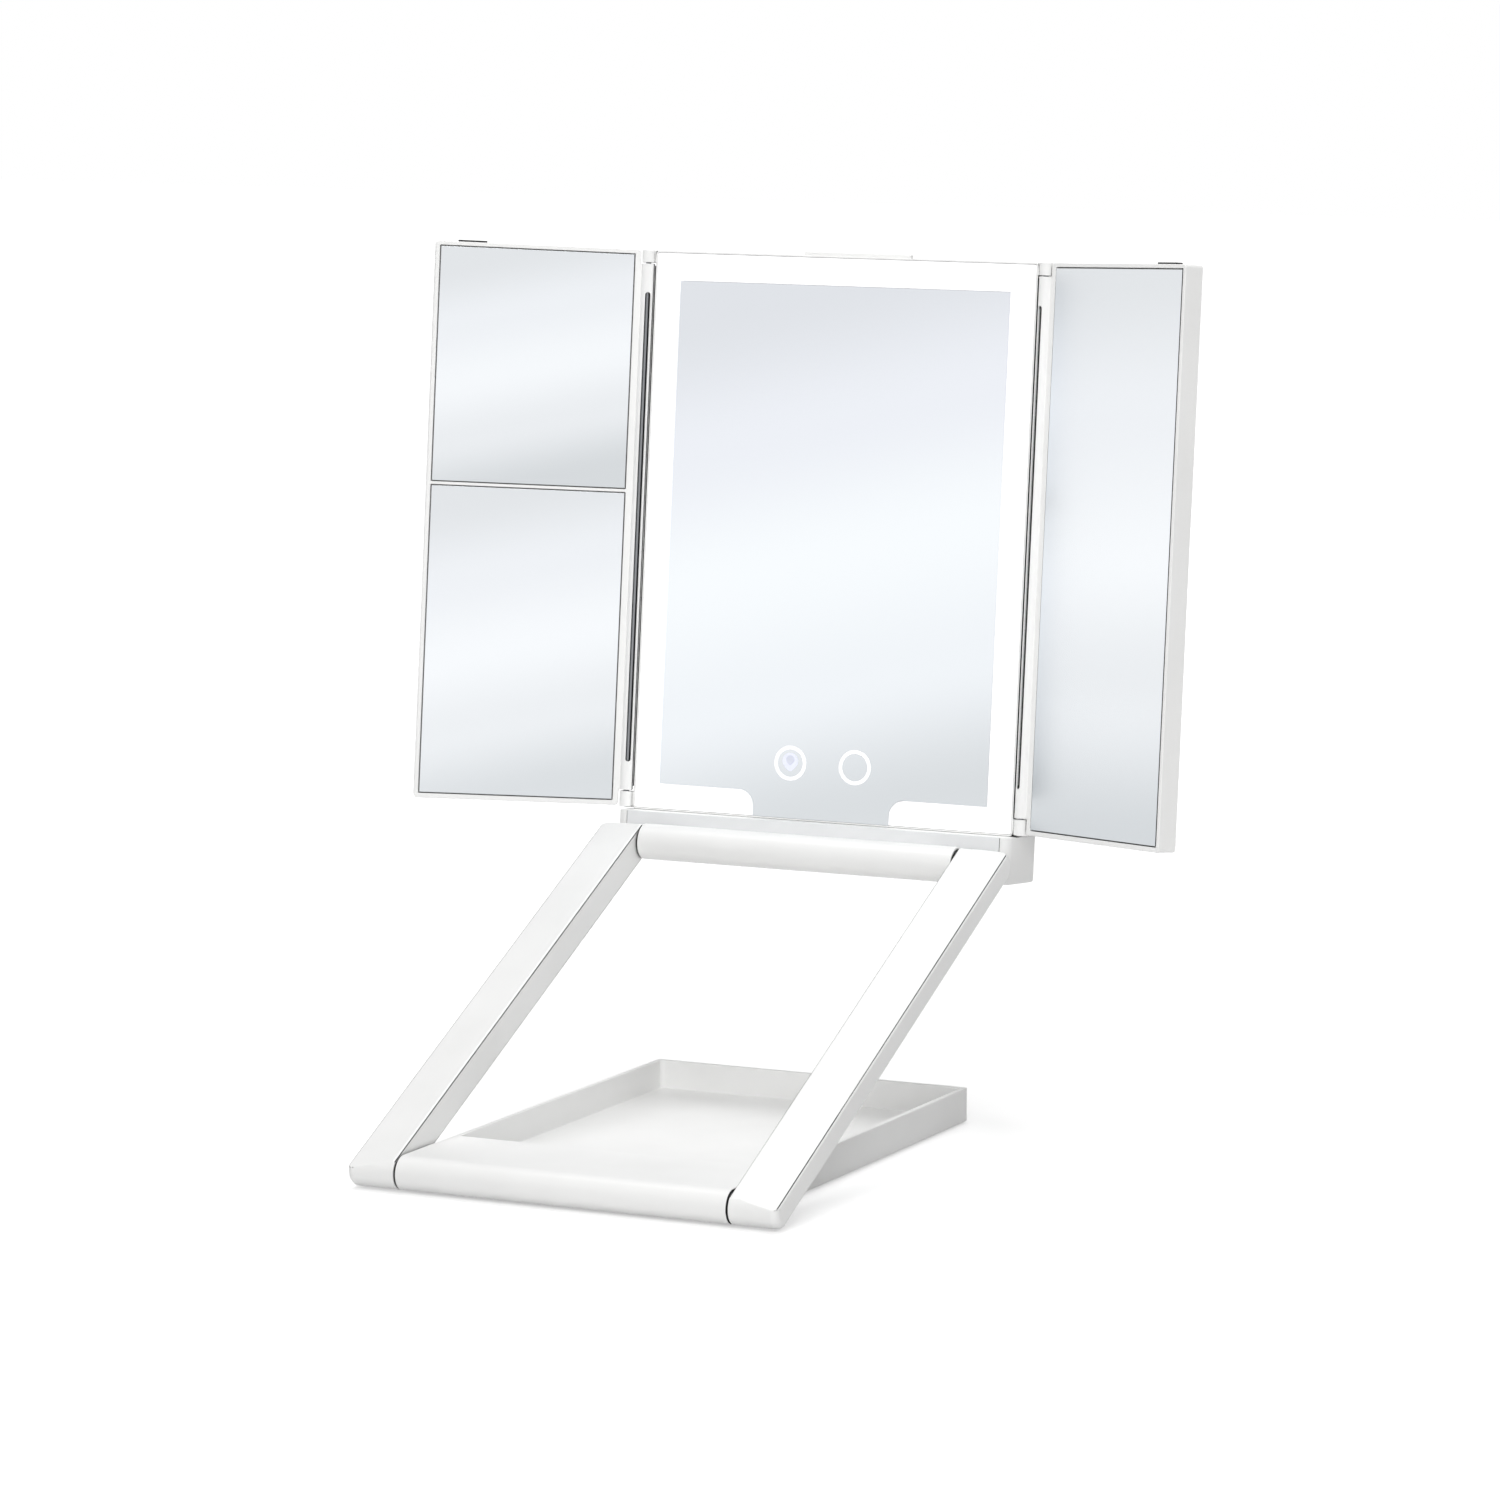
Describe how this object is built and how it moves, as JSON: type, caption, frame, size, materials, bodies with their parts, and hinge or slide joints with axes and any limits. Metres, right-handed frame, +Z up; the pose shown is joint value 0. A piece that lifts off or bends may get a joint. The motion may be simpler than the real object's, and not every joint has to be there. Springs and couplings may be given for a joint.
{
  "type": "trifold vanity mirror",
  "caption": "Free-standing folding vanity mirror: lit centre mirror with two hinged wings on a crossbar between two arms that rise from a shallow tray base.",
  "frame": {"origin": "centre of the front foot's underside, on the surface that the mirror stands on", "axes": "+Z up, +Y from the user's side to the back, +X to the user's right"},
  "size_m": [0.3558, 0.2861, 0.3692],
  "materials": {
    "white_abs": "moulded, soft gloss",
    "strip_abs": "moulded, satin",
    "mirror_glass": "silvered float glass",
    "diffuser": "frosted, lit from behind",
    "touch_print": "frosted, lit from behind",
    "rod_steel": "drawn",
    "screw_steel": "zinc plated",
    "magnet_nickel": "nickel plated",
    "ballast_iron": "as cast",
    "washer_plastic": "moulded acetal",
    "foot_rubber": "moulded",
    "foam_tape": "foam",
    "circuit_board": "solder mask",
    "led_strip": "satin",
    "battery_wrap": "shrink sleeve"
  },
  "bodies": {
    "base": {"tray_shell": "white_abs", "base_cover": "white_abs", "ballast_block": "ballast_iron", "front_foot": "foot_rubber", "rear_foot": "foot_rubber", "base_screws": "screw_steel", "lower_hinge_shafts": "rod_steel", "lower_friction_washers": "washer_plastic"},
    "arms": {"left_arm": "white_abs", "right_arm": "white_abs", "left_arm_cover": "white_abs", "right_arm_cover": "white_abs", "arm_cover_screws": "screw_steel"},
    "mirror": {"crossbar": "white_abs", "crossbar_screws": "screw_steel", "upper_hinge_shafts": "rod_steel", "upper_friction_washers": "washer_plastic", "chin_housing": "white_abs", "chin_front_strip": "strip_abs", "chin_screws": "screw_steel", "charging_board": "circuit_board", "charging_socket": "rod_steel", "centre_frame": "white_abs", "rear_cover": "white_abs", "rear_cover_screws": "screw_steel", "centre_mirror": "mirror_glass", "light_band": "diffuser", "touch_rings": "touch_print", "touch_springs": "rod_steel", "led_strips": "led_strip", "control_board": "circuit_board", "battery_pack": "battery_wrap", "catch_magnets": "magnet_nickel", "left_hinge_rod": "rod_steel", "right_hinge_rod": "rod_steel"},
    "left_wing": {"left_wing_frame": "white_abs", "left_upper_mirror": "mirror_glass", "left_lower_mirror": "mirror_glass", "left_mirror_tape": "foam_tape", "left_wing_cover": "white_abs", "left_wing_magnets": "magnet_nickel"},
    "right_wing": {"right_wing_frame": "white_abs", "right_mirror": "mirror_glass", "right_mirror_tape": "foam_tape", "right_wing_cover": "white_abs", "right_wing_magnets": "magnet_nickel"}
  },
  "joints": [
    {"name": "arm_fold", "type": "hinge", "parent": "base", "child": "arms", "pos_m": [0, -0.012, 0.008], "axis": [1, 0, 0], "range_deg": [-25.5, 64.5]},
    {"name": "mirror_tilt", "type": "hinge", "parent": "arms", "child": "mirror", "pos_m": [0, 0.20823, 0.11304], "axis": [1, 0, 0], "range_deg": [-30, 120.5]},
    {"name": "left_wing_fold", "type": "hinge", "parent": "mirror", "child": "left_wing", "pos_m": [-0.0931, 0.2402, 0.24436], "axis": [0, 0.0872, 0.9962], "range_deg": [-30, 150]},
    {"name": "right_wing_fold", "type": "hinge", "parent": "mirror", "child": "right_wing", "pos_m": [0.0931, 0.2402, 0.24436], "axis": [0, -0.0872, -0.9962], "range_deg": [-30, 150]}
  ]
}
